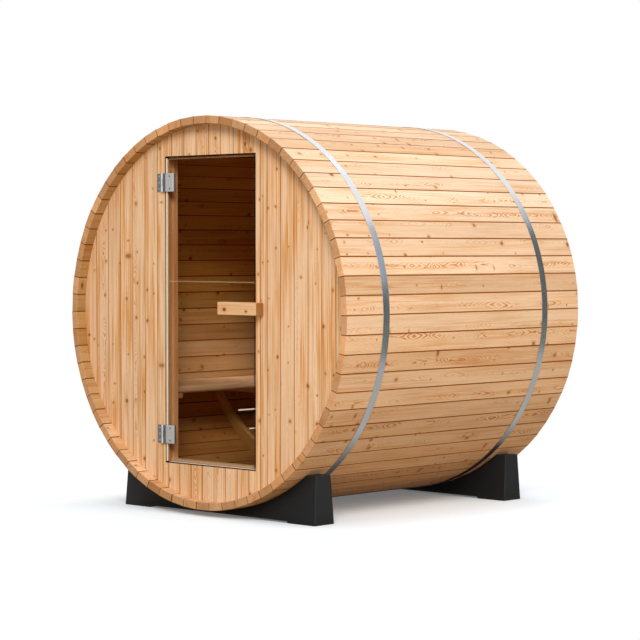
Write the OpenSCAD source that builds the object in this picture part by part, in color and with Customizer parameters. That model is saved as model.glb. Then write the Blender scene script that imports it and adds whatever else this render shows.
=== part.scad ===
// Barrel sauna: a ring of staves drawn together by two steel hoops, a plank wall let into a groove
// near each end, a glass door in the front wall and two cradles under the barrel.
// +Z is up, -Y is the front, and the origin is on the ground under the middle of the barrel.

/* [Barrel] */
// Diameter over the corners of the staves
barrel_d = 2000; // [1800:10:2200]
// Length of the staves
barrel_l = 1840; // [1700:10:2400]
// Height of the barrel's axis above the ground
axis_z = 1032; // [1020:1:1060]
// Number of staves, a multiple of six
stave_count = 66; // [60:6:72]
// Thickness of a stave
stave_t = 40; // [36:1:45]
// Turn of the whole ring of staves from level joints, in degrees
stave_turn = 0.5; // [-2:0.1:2]
// Gap between neighbouring staves
stave_gap = 0.6; // [0.4:0.1:1]
// Width of the eased edge along each stave
stave_ease = 2.5; // [1:0.5:4]

/* [End walls] */
// Depth of the end walls behind the ends of the staves
wall_recess = 60; // [55:1:90]
// Thickness of the end walls
wall_t = 42; // [36:1:50]
// Depth of the groove in the staves that holds a wall
groove_d = 8; // [5:1:12]

/* [Doorway] */
// Width of the doorway
door_w = 660; // [600:5:700]
// Bottom of the doorway below the barrel's axis
door_below = 782; // [740:1:800]
// Top of the doorway above the barrel's axis
door_above = 804; // [760:1:810]
// Width of the frame pieces behind the wall
frame_w = 45; // [35:1:50]
// Depth of the frame pieces behind the wall
frame_t = 50; // [30:1:60]

/* [Door] */
// Thickness of the glass
glass_t = 8; // [6:1:10]
// Gap between the glass and the doorway
glass_gap = 10; // [8:1:14]
// Width of the seal along the hinge edge of the glass
seal_w = 18; // [12:1:24]
// Thickness of the seal over each face of the glass
seal_t = 1.5; // [1:0.5:2]
// Length of the handle
handle_l = 276; // [220:1:300]
// Height of the handle
handle_h = 64; // [50:1:70]
// Thickness of the handle
handle_t = 52; // [40:1:53]
// Reach of the handle past the edge of the doorway
handle_reach = 60; // [40:1:70]
// Middle of the handle above the barrel's axis
handle_z = 28; // [-50:1:80]
// Length of the spacers between the glass and the handle
spacer_l = 6; // [6:0.5:7]
// Diameter of the spacers
spacer_d = 30; // [20:1:36]

/* [Hinges] */
// Height of a hinge
hinge_h = 94; // [80:1:110]
// Middle of the upper hinge above the barrel's axis
upper_hinge_z = 669; // [600:1:690]
// Middle of the lower hinge above the barrel's axis
lower_hinge_z = -633; // [-670:1:-580]
// Width of the wall leaf
leaf_w = 42; // [35:1:50]
// Thickness of the wall leaf
leaf_t = 3.5; // [3:0.5:4]
// Distance of the pin outside the edge of the doorway
pin_off = 12; // [11:0.5:14]
// Distance of the pin in front of the wall
pin_front = 10; // [9.5:0.5:12]
// Diameter of the pin
pin_d = 6; // [5:0.5:7]
// Diameter of the knuckles
knuckle_d = 12; // [11:0.5:13]
// Width of the clamp plates on the glass
clamp_w = 60; // [50:1:70]
// Thickness of the outer clamp plate
clamp_t = 10; // [8:1:11]
// Thickness of the inner clamp plate
inner_clamp_t = 6; // [4:1:8]

/* [Hoops] */
// Width of a hoop
hoop_w = 46; // [35:1:60]
// Thickness of a hoop
hoop_t = 1.5; // [1:0.5:3]
// Place of the front hoop along the barrel
front_hoop_y = -638; // [-660:1:-600]
// Place of the rear hoop along the barrel
rear_hoop_y = 622; // [600:1:660]

/* [Cradles] */
// Middle of a cradle from the middle of the barrel
cradle_y = 746; // [740:1:780]
// Width of a cradle at the ground
cradle_w = 142; // [120:1:160]
// Width of a cradle at its shoulders
cradle_top_w = 106; // [90:1:120]
// Length of a cradle at the ground
cradle_l = 1384; // [1340:2:1440]
// Length of a cradle at its shoulders
cradle_top_l = 1370; // [1340:2:1400]
// Height of the shoulders
shoulder_z = 245; // [220:1:255]
// Length of the feet at each end of a cradle
foot_l = 190; // [120:5:260]
// Height of the hollow between the feet
foot_h = 9; // [5:1:12]

/* [Bench] */
// Top of the bench below the barrel's axis
bench_below = 398; // [360:1:430]
// Front edge of the bench from the barrel's axis
bench_front = 460; // [430:1:490]
// Number of boards in the seat
seat_boards = 4; // [3:1:5]
// Width of a seat board
seat_board_w = 90; // [70:1:92]
// Thickness of a seat board
seat_board_t = 42; // [30:1:45]
// Gap between seat boards
seat_gap = 8; // [5:1:12]
// Width of the battens under the seat
batten_w = 60; // [40:1:70]
// Thickness of the battens under the seat
batten_t = 26; // [20:1:32]
// Distance of the end battens from the middle of the bench
batten_y = 634; // [560:1:680]
// Thickness of the curved rib under the bench
rib_t = 40; // [30:1:50]
// Radius of the hollow side of the rib
rib_hollow_r = 888; // [884:1:892]
// Sideways shift of that hollow's centre from the barrel's axis
rib_hollow_x = -78; // [-82:1:-74]
// Rise of that hollow's centre above the barrel's axis
rib_hollow_z = 45; // [40:1:50]

/* [Vents] */
// Height of an air slot
vent_h = 12; // [8:1:15]
// Length of an air slot
vent_l = 300; // [150:10:400]
// Front end of the air slots from the middle of the barrel
vent_y = 100; // [60:5:150]

/* [Hidden] */
$fn = 180;

// A slack that keeps pieces that meet from cutting into each other
slack = 0.3;
// How far a cutting shape runs past what it cuts
over = 1;

// Staves: flats of a regular polygon, drawn for the stave at the very top
barrel_r = barrel_d / 2;
stave_step = 360 / stave_count;
staves_per_group = stave_count / 6;
outer_flat = barrel_r * cos(stave_step / 2);
inner_flat = outer_flat - stave_t;
function half_width(flat) = flat * tan(stave_step / 2) - stave_gap / 2;
stave_half = [
    [half_width(inner_flat) - stave_ease, inner_flat],
    [half_width(inner_flat + stave_ease), inner_flat + stave_ease],
    [half_width(outer_flat - stave_ease), outer_flat - stave_ease],
    [half_width(outer_flat) - stave_ease, outer_flat]
];
stave_other_half = [for (i = [len(stave_half) - 1 : -1 : 0]) [-stave_half[i].x, stave_half[i].y]];

// Air slots: heights below the barrel's axis
vent_below = [585, 685, 733];

// End walls
front_face_y = -barrel_l / 2 + wall_recess;
wall_mid_y = barrel_l / 2 - wall_recess - wall_t / 2;
wall_r = inner_flat + groove_d - slack;
inner_face_y = wall_mid_y - wall_t / 2;

// Doorway, door and hinges
door_bottom_z = axis_z - door_below;
door_top_z = axis_z + door_above;
door_h = door_top_z - door_bottom_z;
glass_w = door_w - 2 * glass_gap;
glass_h = door_h - 2 * glass_gap;
glass_left_x = -glass_w / 2;
glass_bottom_z = door_bottom_z + glass_gap;
pin_x = -door_w / 2 - pin_off;
pin_y = front_face_y - pin_front;
pin_slack = 0.08;
knuckle_gap = 1.5;
knuckle_h = (hinge_h - 2 * knuckle_gap) / 3;
leaf_right_x = pin_x - knuckle_d / 2;
base_w = 13;
clamp_left_x = glass_left_x - 5;
clamp_arm_t = 7;
clamp_lap = 10;
inner_clamp_inset = 8;
handle_right_x = door_w / 2 + handle_reach;
handle_left_x = handle_right_x - handle_l;
handle_back_y = front_face_y - spacer_l;
handle_ease = 3;
spacer_inset = 60;

// Bench
seat_top_z = axis_z - bench_below;
seat_under_z = seat_top_z - seat_board_t;
seat_pitch = seat_board_w + seat_gap;
seat_ease = 8;
rib_top_z = seat_under_z - batten_t;
rib_r = inner_flat - slack;
batten_back_x = -sqrt(pow(rib_r, 2) - pow(axis_z - rib_top_z, 2));
batten_front_x = -bench_front - 8;
rib_front_x = -bench_front - 10;

// A stave, numbered upwards from the right-hand side, with a groove for the wall near each end
module stave(number) {
    turn = stave_turn + (number + 0.5) * stave_step;
    translate([0, 0, axis_z])
        rotate([0, 90 - turn, 0])
            difference() {
                rotate([90, 0, 0])
                    linear_extrude(barrel_l, center = true)
                        polygon(concat(stave_half, stave_other_half));
                for (end = [-1, 1])
                    translate([0, end * wall_mid_y, inner_flat + (groove_d - over) / 2])
                        cube([3 * stave_t, wall_t + 2 * slack, groove_d + over], center = true);
            }
}

// One sixth of the ring of staves
module stave_group(group, tone) {
    color(tone)
        for (i = [0 : staves_per_group - 1])
            stave(group * staves_per_group + i);
}

module staves_upper_right() { stave_group(0, "burlywood"); }

module staves_top() { stave_group(1, "wheat"); }

module staves_upper_left() { stave_group(2, "burlywood"); }

// The lower left staves have level air slots under the bench
module staves_lower_left() {
    color("tan")
        difference() {
            stave_group(3, "tan");
            for (below = vent_below)
                translate([-barrel_r, vent_y, axis_z - below - vent_h / 2])
                    cube([barrel_r / 2, vent_l, vent_h]);
        }
}

module staves_bottom() { stave_group(4, "burlywood"); }

module staves_lower_right() { stave_group(5, "wheat"); }

// A whole round wall of planks
module round_wall(middle_y) {
    translate([0, middle_y, axis_z])
        rotate([90, 0, 0])
            cylinder(r = wall_r, h = wall_t, center = true);
}

// The part of the front wall inside a rectangle from its lower left to its upper right corner
module front_wall_part(low, high) {
    color("sandybrown")
        intersection() {
            round_wall(-wall_mid_y);
            translate([low.x, -barrel_l / 2, low.y])
                cube([high.x - low.x, barrel_l / 2, high.y - low.y]);
        }
}

module front_wall_left() { front_wall_part([-barrel_r, 0], [-door_w / 2, 2 * axis_z]); }

module front_wall_right() { front_wall_part([door_w / 2, 0], [barrel_r, 2 * axis_z]); }

module front_wall_over_door() { front_wall_part([-door_w / 2, door_top_z], [door_w / 2, 2 * axis_z]); }

module front_wall_under_door() { front_wall_part([-door_w / 2, 0], [door_w / 2, door_bottom_z]); }

module rear_wall() { color("sandybrown") round_wall(wall_mid_y); }

// A piece of the door frame behind the front wall
module frame_piece(low, size) {
    color("peru")
        translate([low.x, front_face_y + wall_t, low.y])
            cube([size.x, frame_t, size.y]);
}

module door_post_left() { frame_piece([-door_w / 2 - frame_w, door_bottom_z], [frame_w, door_h]); }

module door_post_right() { frame_piece([door_w / 2, door_bottom_z], [frame_w, door_h]); }

module door_head() { frame_piece([-door_w / 2 - frame_w, door_top_z], [door_w + 2 * frame_w, frame_w]); }

module door_sill() {
    frame_piece([-door_w / 2 - frame_w, door_bottom_z - frame_w], [door_w + 2 * frame_w, frame_w]);
}

// The glass is flush with the front of the wall
module door_glass() {
    color("saddlebrown", 0.5)
        translate([glass_left_x, front_face_y, glass_bottom_z])
            cube([glass_w, glass_t, glass_h]);
}

// A seal that grips the hinge edge of the glass between the heights low and high
module seal_length(low, high) {
    difference() {
        translate([glass_left_x - seal_t, front_face_y - seal_t, low])
            cube([seal_w + seal_t, glass_t + 2 * seal_t, high - low]);
        translate([glass_left_x, front_face_y, low - over])
            cube([seal_w + over, glass_t, high - low + 2 * over]);
    }
}

module door_edge_seal() {
    lower_edge = axis_z + lower_hinge_z;
    upper_edge = axis_z + upper_hinge_z;
    clear = hinge_h / 2 + over;
    color("antiquewhite") {
        seal_length(glass_bottom_z, lower_edge - clear);
        seal_length(lower_edge + clear, upper_edge - clear);
        seal_length(upper_edge + clear, glass_bottom_z + glass_h);
    }
}

// A bar along X with its four long edges eased
module eased_bar(length, depth, height, ease) {
    rotate([90, 0, 90])
        linear_extrude(length)
            polygon([
                [ease, 0], [depth - ease, 0], [depth, ease], [depth, height - ease],
                [depth - ease, height], [ease, height], [0, height - ease], [0, ease]
            ]);
}

// The wooden handle stands off the glass on two round spacers
module door_handle() {
    color("burlywood") {
        translate([handle_left_x, handle_back_y - handle_t, axis_z + handle_z - handle_h / 2])
            eased_bar(handle_l, handle_t, handle_h, handle_ease);
        for (x = [handle_left_x + spacer_inset, glass_w / 2 - spacer_inset])
            translate([x, front_face_y, axis_z + handle_z])
                rotate([90, 0, 0])
                    cylinder(d = spacer_d, h = spacer_l);
    }
}

// The wall half of a hinge: a plate, two knuckles on a base and the pin
module hinge_leaf(middle_z) {
    color("gray")
        translate([0, 0, middle_z - hinge_h / 2]) {
            translate([leaf_right_x - leaf_w, front_face_y - leaf_t, 0])
                cube([leaf_w, leaf_t, hinge_h]);
            for (z = [0, hinge_h - knuckle_h]) {
                translate([pin_x, pin_y, z])
                    cylinder(d = knuckle_d, h = knuckle_h);
                translate([pin_x - base_w / 2, pin_y, z])
                    cube([base_w, pin_front, knuckle_h]);
            }
            translate([pin_x, pin_y, 0])
                cylinder(d = pin_d, h = hinge_h);
        }
}

module upper_hinge_leaf() { hinge_leaf(axis_z + upper_hinge_z); }

module lower_hinge_leaf() { hinge_leaf(axis_z + lower_hinge_z); }

// The door half of a hinge: a plate on each face of the glass and an arm with the middle knuckle
module hinge_clamp(middle_z) {
    arm_z = knuckle_h + knuckle_gap;
    inner_left_x = clamp_left_x + inner_clamp_inset;
    color("silver")
        translate([0, 0, middle_z - hinge_h / 2])
            difference() {
                union() {
                    translate([clamp_left_x, front_face_y - clamp_t, 0])
                        cube([clamp_w, clamp_t, hinge_h]);
                    translate([inner_left_x, front_face_y + glass_t, 0])
                        cube([clamp_w - inner_clamp_inset, inner_clamp_t, hinge_h]);
                    translate([pin_x, pin_y - clamp_arm_t / 2, arm_z])
                        cube([clamp_left_x + clamp_lap - pin_x, clamp_arm_t, knuckle_h]);
                    translate([pin_x, pin_y, arm_z])
                        cylinder(d = knuckle_d, h = knuckle_h);
                }
                translate([pin_x, pin_y, arm_z - over])
                    cylinder(r = pin_d / 2 + pin_slack, h = knuckle_h + 2 * over);
            }
}

module upper_hinge_clamp() { hinge_clamp(axis_z + upper_hinge_z); }

module lower_hinge_clamp() { hinge_clamp(axis_z + lower_hinge_z); }

// A steel band round the staves
module hoop(middle_y) {
    inner_r = barrel_r + slack;
    color("lightgray")
        translate([0, middle_y, axis_z])
            rotate([90, 0, 0])
                difference() {
                    cylinder(r = inner_r + hoop_t, h = hoop_w, center = true);
                    cylinder(r = inner_r, h = hoop_w + 2 * over, center = true);
                }
}

module front_hoop() { hoop(front_hoop_y); }

module rear_hoop() { hoop(rear_hoop_y); }

// The side of a cradle: a saddle between two shoulders, with a foot at each end
module cradle_side() {
    difference() {
        polygon([
            [-cradle_l / 2, 0], [-cradle_l / 2 + foot_l, 0], [-cradle_l / 2 + foot_l + foot_h, foot_h],
            [cradle_l / 2 - foot_l - foot_h, foot_h], [cradle_l / 2 - foot_l, 0], [cradle_l / 2, 0],
            [cradle_top_l / 2, shoulder_z], [-cradle_top_l / 2, shoulder_z]
        ]);
        translate([0, axis_z])
            circle(r = barrel_r + slack);
    }
}

// The end of a cradle, narrower at the shoulders than at the ground
module cradle_end() {
    polygon([
        [-cradle_w / 2, 0], [cradle_w / 2, 0],
        [cradle_top_w / 2, shoulder_z], [-cradle_top_w / 2, shoulder_z]
    ]);
}

module cradle(middle_y) {
    color("#1c1d1f")
        translate([0, middle_y, 0])
            intersection() {
                rotate([90, 0, 0])
                    linear_extrude(2 * cradle_w, center = true)
                        cradle_side();
                rotate([90, 0, 90])
                    linear_extrude(cradle_l + 2 * over, center = true)
                        cradle_end();
            }
}

module front_cradle() { cradle(-cradle_y); }

module rear_cradle() { cradle(cradle_y); }

// The seat's boards run from wall to wall
module bench_seat() {
    color("burlywood")
        for (i = [0 : seat_boards - 1])
            translate([-bench_front - i * seat_pitch, -inner_face_y, seat_under_z])
                rotate([0, 0, 90])
                    eased_bar(2 * inner_face_y, seat_board_w, seat_board_t, seat_ease);
}

module bench_battens() {
    color("peru")
        for (y = [-batten_y, 0, batten_y])
            translate([batten_back_x, y - batten_w / 2, rib_top_z])
                cube([batten_front_x - batten_back_x, batten_w, batten_t]);
}

// The rib follows the curve of the staves and grows deeper towards its foot
module bench_rib() {
    color("peru")
        translate([0, 0, axis_z])
            rotate([90, 0, 0])
                linear_extrude(rib_t, center = true)
                    difference() {
                        intersection() {
                            circle(r = rib_r);
                            translate([-barrel_r, -barrel_r])
                                square([barrel_r + rib_front_x, barrel_r + rib_top_z - axis_z]);
                        }
                        translate([rib_hollow_x, rib_hollow_z])
                            circle(r = rib_hollow_r);
                    }
}

staves_upper_right();
staves_top();
staves_upper_left();
staves_lower_left();
staves_bottom();
staves_lower_right();
front_wall_left();
front_wall_right();
front_wall_over_door();
front_wall_under_door();
rear_wall();
door_post_left();
door_post_right();
door_head();
door_sill();
door_glass();
door_edge_seal();
door_handle();
upper_hinge_leaf();
lower_hinge_leaf();
upper_hinge_clamp();
lower_hinge_clamp();
front_hoop();
rear_hoop();
front_cradle();
rear_cradle();
bench_seat();
bench_battens();
bench_rib();
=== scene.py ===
import math
import random

import bmesh
import bpy
from mathutils import Matrix, Vector


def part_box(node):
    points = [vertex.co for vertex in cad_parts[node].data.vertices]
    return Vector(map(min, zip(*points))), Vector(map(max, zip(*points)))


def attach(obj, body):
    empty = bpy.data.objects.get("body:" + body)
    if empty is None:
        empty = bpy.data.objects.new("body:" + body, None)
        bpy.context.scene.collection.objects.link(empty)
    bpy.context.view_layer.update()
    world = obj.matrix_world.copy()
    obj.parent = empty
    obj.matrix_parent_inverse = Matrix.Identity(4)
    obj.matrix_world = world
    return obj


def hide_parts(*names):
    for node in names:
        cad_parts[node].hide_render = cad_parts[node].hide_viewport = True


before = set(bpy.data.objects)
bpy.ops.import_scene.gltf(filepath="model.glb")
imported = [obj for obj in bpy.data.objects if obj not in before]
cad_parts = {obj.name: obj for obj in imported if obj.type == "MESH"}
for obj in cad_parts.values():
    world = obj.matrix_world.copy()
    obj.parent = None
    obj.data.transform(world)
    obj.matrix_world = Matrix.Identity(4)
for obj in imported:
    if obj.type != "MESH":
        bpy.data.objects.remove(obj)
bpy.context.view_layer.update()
draw = random.Random(66)

X_AXIS, Y_AXIS, Z_AXIS = range(3)

# Places read from the frame, in metres
hoop_low, hoop_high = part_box("front_hoop")
stave_low, stave_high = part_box("staves_top")
front_wall_low, front_wall_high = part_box("front_wall_left")
rear_wall_low, rear_wall_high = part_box("rear_wall")
left_post_low, left_post_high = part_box("door_post_left")
right_post_low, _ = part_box("door_post_right")
AXIS_Z = (hoop_low.z + hoop_high.z) / 2
DOORWAY_LEFT = left_post_high.x
DOORWAY_RIGHT = right_post_low.x
DOORWAY_FOOT = left_post_low.z
DOORWAY_HEAD = left_post_high.z
WALL_FRONT = front_wall_low.y
WALL_BACK = front_wall_high.y

# Staves
STAVE_COUNT = 66
STAVE_TURN = math.radians(0.5)
STAVE_THICK = 0.040
STAVE_GAP = 0.0006
STAVE_EASE = 0.0012
STAVE_END_EASE = 0.0019
STAVE_STRAY = 0.0012
STAVE_SINK, STAVE_RISE = 0.0010, 0.0002
STAVE_GROUPS = (
    "staves_upper_right", "staves_top", "staves_upper_left",
    "staves_lower_left", "staves_bottom", "staves_lower_right",
)
BARREL_RADIUS = 1.0
WALL_GROOVE = 0.008
WALL_PLAY = 0.0003
AIR_SLOT_DROPS = (0.585, 0.685, 0.733)
AIR_SLOT_HIGH = 0.012
AIR_SLOT_FROM, AIR_SLOT_TO = 0.100, 0.400
AIR_SLOT_OUTER, AIR_SLOT_INNER = -1.1, -0.4
HOOP_PLAY = 0.0003

# Wall boards: the first joint beside the doorway, then a steady step
LEFT_JOINT, LEFT_STEP = -0.389, 0.0955
RIGHT_STRIP, RIGHT_JOINT, RIGHT_STEP = 0.362, 0.409, 0.0928
OVER_JOINT, OVER_STEP, OVER_COUNT = -0.279, 0.0902, 7
UNDER_JOINT, UNDER_STEP, UNDER_COUNT = -0.306, 0.0839, 8
REAR_STEP = 0.0935
BOARD_GAP = 0.0005
BOARD_EASE = 0.0021
BOARD_SET_IN = 0.0006
REAR_REACH = 0.985

# Where a board was sawn from its log
PITH_SIDE = 0.030
PITH_DEPTH = (0.025, 0.085)
LOG_SHIFT = 60

# Shares of a direction: mostly along an axis, half along it, end grain, and turned into a joint
MOSTLY, HALFWAY, END_GRAIN, IN_JOINT = 0.9, 0.5, 0.7, 0.3

# Modelling: how far cutters reach past a piece, how close is the same place, sides of a large round
CUT_PAST, LONG_CUT_PAST = 0.01, 0.1
CLOSE = 0.0001
FINE_ROUND = 360

# Edges that are smoothed over, in degrees
BOARD_SMOOTH, CRADLE_SMOOTH, PIECE_SMOOTH, HOOP_SMOOTH = 20, 30, 35, 40

# Camera, fitted to the photograph's outline, joints and doorway
CAMERA_PLACE = (8.0511, -8.6494, 1.3585)
CAMERA_TURN = math.radians(43.078)
CAMERA_DIP = math.radians(1.8485)
CAMERA_LENS = 123.95
CAMERA_SENSOR = 36
CAMERA_REACH = 200


# Modelling by hand

def let_go():
    """Leave edit mode and select nothing."""
    if bpy.context.mode != "OBJECT":
        bpy.ops.object.mode_set(mode="OBJECT")
    bpy.ops.object.select_all(action="DESELECT")


def take(*pieces):
    """Select these pieces alone, the first one active."""
    let_go()
    for piece in pieces:
        piece.select_set(True)
    bpy.context.view_layer.objects.active = pieces[0]


def settle(name):
    """Name the new primitive and put its place, turn and size into its mesh."""
    piece = bpy.context.object
    piece.name = name
    bpy.ops.object.transform_apply(location=True, rotation=True, scale=True)
    return piece


def block(name, low, high):
    """A block of stock between two corners."""
    let_go()
    low = Vector(low)
    high = Vector(high)
    bpy.ops.mesh.primitive_cube_add(size=1, location=(low + high) / 2)
    bpy.context.object.scale = high - low
    return settle(name)


def sheet(name, middle, size, turn=(0, 0, 0)):
    """A flat sheet about its middle."""
    let_go()
    bpy.ops.mesh.primitive_plane_add(size=1, location=middle, rotation=turn)
    bpy.context.object.scale = (*size, 1)
    return settle(name)


def rod(name, start, end, radius, sides=32):
    """A round bar between two points."""
    let_go()
    start = Vector(start)
    run = Vector(end) - start
    bpy.ops.mesh.primitive_cylinder_add(
        vertices=sides, radius=radius, depth=run.length, location=start + run / 2,
        rotation=run.to_track_quat("Z", "Y").to_euler())
    return settle(name)


def pick(piece, kind, test):
    """Go into edit mode with the faces or edges selected that pass the test."""
    take(piece)
    bpy.ops.object.mode_set(mode="EDIT")
    bpy.ops.mesh.select_mode(type="FACE" if kind == "faces" else "EDGE")
    bpy.ops.mesh.select_all(action="DESELECT")
    mesh = bmesh.from_edit_mesh(piece.data)
    for part in getattr(mesh, kind):
        if test(part):
            part.select_set(True)
    mesh.select_flush_mode()
    bmesh.update_edit_mesh(piece.data)


def every(part):
    """A test that all parts pass."""
    return True


def runs_along(axis):
    """A test for edges that run along one axis."""
    def test(edge):
        run = edge.verts[1].co - edge.verts[0].co
        return abs(run[axis]) > MOSTLY * run.length
    return test


def looks(axis, way, least=HALFWAY):
    """A test for faces that look one way along an axis."""
    def test(face):
        return face.normal[axis] * way > least
    return test


def ease(piece, width, test=every, segments=2):
    """Round the edges that pass the test."""
    pick(piece, "edges", test)
    bpy.ops.mesh.bevel(offset=width, segments=segments, profile=0.5)
    let_go()


def modify(piece, kind, **settings):
    """Work one modifier into the piece's mesh."""
    take(piece)
    change = piece.modifiers.new(kind, kind)
    for name, setting in settings.items():
        setattr(change, name, setting)
    bpy.ops.object.modifier_apply(modifier=change.name)


def ease_all(piece, width, segments=2, angle=30):
    """Round every edge that is sharper than an angle."""
    modify(
        piece, "BEVEL", width=width, segments=segments, limit_method="ANGLE",
        angle_limit=math.radians(angle), miter_outer="MITER_ARC")


def saw(piece, point, normal, drop_far=False):
    """Cut all round the piece in one plane; drop_far throws away what the normal points to."""
    pick(piece, "faces", every)
    bpy.ops.mesh.bisect(plane_co=point, plane_no=normal, use_fill=drop_far, clear_outer=drop_far)
    let_go()


def push_faces(piece, test, move):
    """Extrude the faces that pass the test."""
    pick(piece, "faces", test)
    bpy.ops.mesh.extrude_region_move(TRANSFORM_OT_translate={"value": move})
    let_go()


def scale_faces(piece, test, factors, centre):
    """Scale the faces that pass the test about a point."""
    pick(piece, "faces", test)
    bpy.ops.transform.resize(value=factors, center_override=centre)
    let_go()


def carve(piece, cutter, how="DIFFERENCE", keep_cutter=False, solver="EXACT"):
    """Take the cutter's shape away from the piece, or keep what they share."""
    modify(piece, "BOOLEAN", operation=how, solver=solver, object=cutter)
    if not keep_cutter:
        bpy.data.objects.remove(cutter)


def copy_of(piece, name, place=Matrix.Identity(4)):
    """A copy with a mesh of its own, put in another place."""
    copy = piece.copy()
    copy.data = piece.data.copy()
    copy.name = name
    bpy.context.collection.objects.link(copy)
    copy.data.transform(place)
    return copy


def join_up(name, pieces):
    """Make one piece of several."""
    take(*pieces)
    bpy.ops.object.join()
    pieces[0].name = name
    return pieces[0]


def paint(piece, finish):
    """Give a piece its finish."""
    piece.data.materials.append(finish)


def smooth(piece, angle):
    """Shade a piece smooth over edges up to an angle."""
    take(piece)
    bpy.ops.object.shade_smooth_by_angle(angle=math.radians(angle))


def hand_in(piece, body, node, smooth_angle=PIECE_SMOOTH):
    """Smooth a finished piece, say what it rides on and hide the part it stands for."""
    smooth(piece, smooth_angle)
    modify(piece, "WEIGHTED_NORMAL", keep_sharp=True)
    let_go()
    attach(piece, body)
    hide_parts(node)


# Boards and their grain

class Board:
    """One board's luck: where in the log it was sawn, and its tone; an upright one knows its middle."""

    def __init__(self, middle=0.0):
        side = draw.uniform(-PITH_SIDE, PITH_SIDE)
        shift = draw.uniform(0, LOG_SHIFT)
        depth = draw.uniform(*PITH_DEPTH)
        self.middle = middle
        self.pith = Vector((side, shift, depth))
        self.tone = Vector((draw.random(), draw.random(), draw.random()))


def none(face):
    """A test that no face passes."""
    return False


def mark_grain(piece, board, to_board, in_joint=none, inside=none):
    """Store where each point lies in its board: across, along and deep, with the board's tone.

    Each face also notes whether it shows end grain, lies in a joint or looks into the barrel.
    """
    mesh = piece.data
    grain = mesh.attributes.new("grain", "FLOAT_VECTOR", "POINT")
    tone = mesh.attributes.new("tone", "FLOAT_VECTOR", "POINT")
    sawn = mesh.attributes.new("sawn", "FLOAT_VECTOR", "FACE")
    turn = to_board.to_3x3()
    for vertex in mesh.vertices:
        grain.data[vertex.index].vector = to_board @ vertex.co + board.pith
        tone.data[vertex.index].vector = board.tone
    for face in mesh.polygons:
        normal = turn @ face.normal
        end_grain = 1.0 if abs(normal.y) > END_GRAIN else 0.0
        joint = 1.0 if in_joint(face) else 0.0
        indoors = 1.0 if inside(face) else 0.0
        sawn.data[face.index].vector = (end_grain, joint, indoors)


def as_board(piece, finish, along, centre, board=None):
    """Finish a piece as one board whose length runs along X, Y or Z."""
    paint(piece, finish)
    mark_grain(piece, board or Board(), lying(along, centre))


def lying(along, centre):
    """The matrix from the object to a board whose length runs along X, Y or Z."""
    rows = {
        "X": ((0, 1, 0), (1, 0, 0), (0, 0, 1)),
        "Y": ((1, 0, 0), (0, 1, 0), (0, 0, 1)),
        "Z": ((1, 0, 0), (0, 0, 1), (0, 1, 0)),
    }
    return Matrix(rows[along]).to_4x4() @ Matrix.Translation(-Vector(centre))


# Shader maths

def two_values(operation, reflected=False):
    """An operator for Value: a Math node on two values, the other one first if reflected."""
    def operator(self, other):
        pair = (other, self) if reflected else (self, other)
        return self.nodes.add("ShaderNodeMath", {"operation": operation}, dict(enumerate(pair)))
    return operator


class Value:
    """A shader socket that Python sums can use; each sum adds a Math node."""

    def __init__(self, nodes, socket):
        self.nodes = nodes
        self.socket = socket

    def math(self, operation, *others):
        return self.nodes.add("ShaderNodeMath", {"operation": operation}, dict(enumerate((self, *others))))

    __add__ = two_values("ADD")
    __radd__ = two_values("ADD", reflected=True)
    __sub__ = two_values("SUBTRACT")
    __rsub__ = two_values("SUBTRACT", reflected=True)
    __mul__ = two_values("MULTIPLY")
    __rmul__ = two_values("MULTIPLY", reflected=True)
    __truediv__ = two_values("DIVIDE")
    __pow__ = two_values("POWER")
    __lt__ = two_values("LESS_THAN")

    def __abs__(self):
        return self.math("ABSOLUTE")

    def output(self, name):
        """Another output of the node that this value comes from."""
        return Value(self.nodes, self.socket.node.outputs[name])


def opaque(colour):
    """A plain colour with its alpha; a linked colour stays as it is."""
    return colour if isinstance(colour, Value) else (*colour, 1)


def shaded(colour, tint):
    """A plain colour multiplied by a tint."""
    return tuple(part * share for part, share in zip(colour, tint))


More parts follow.
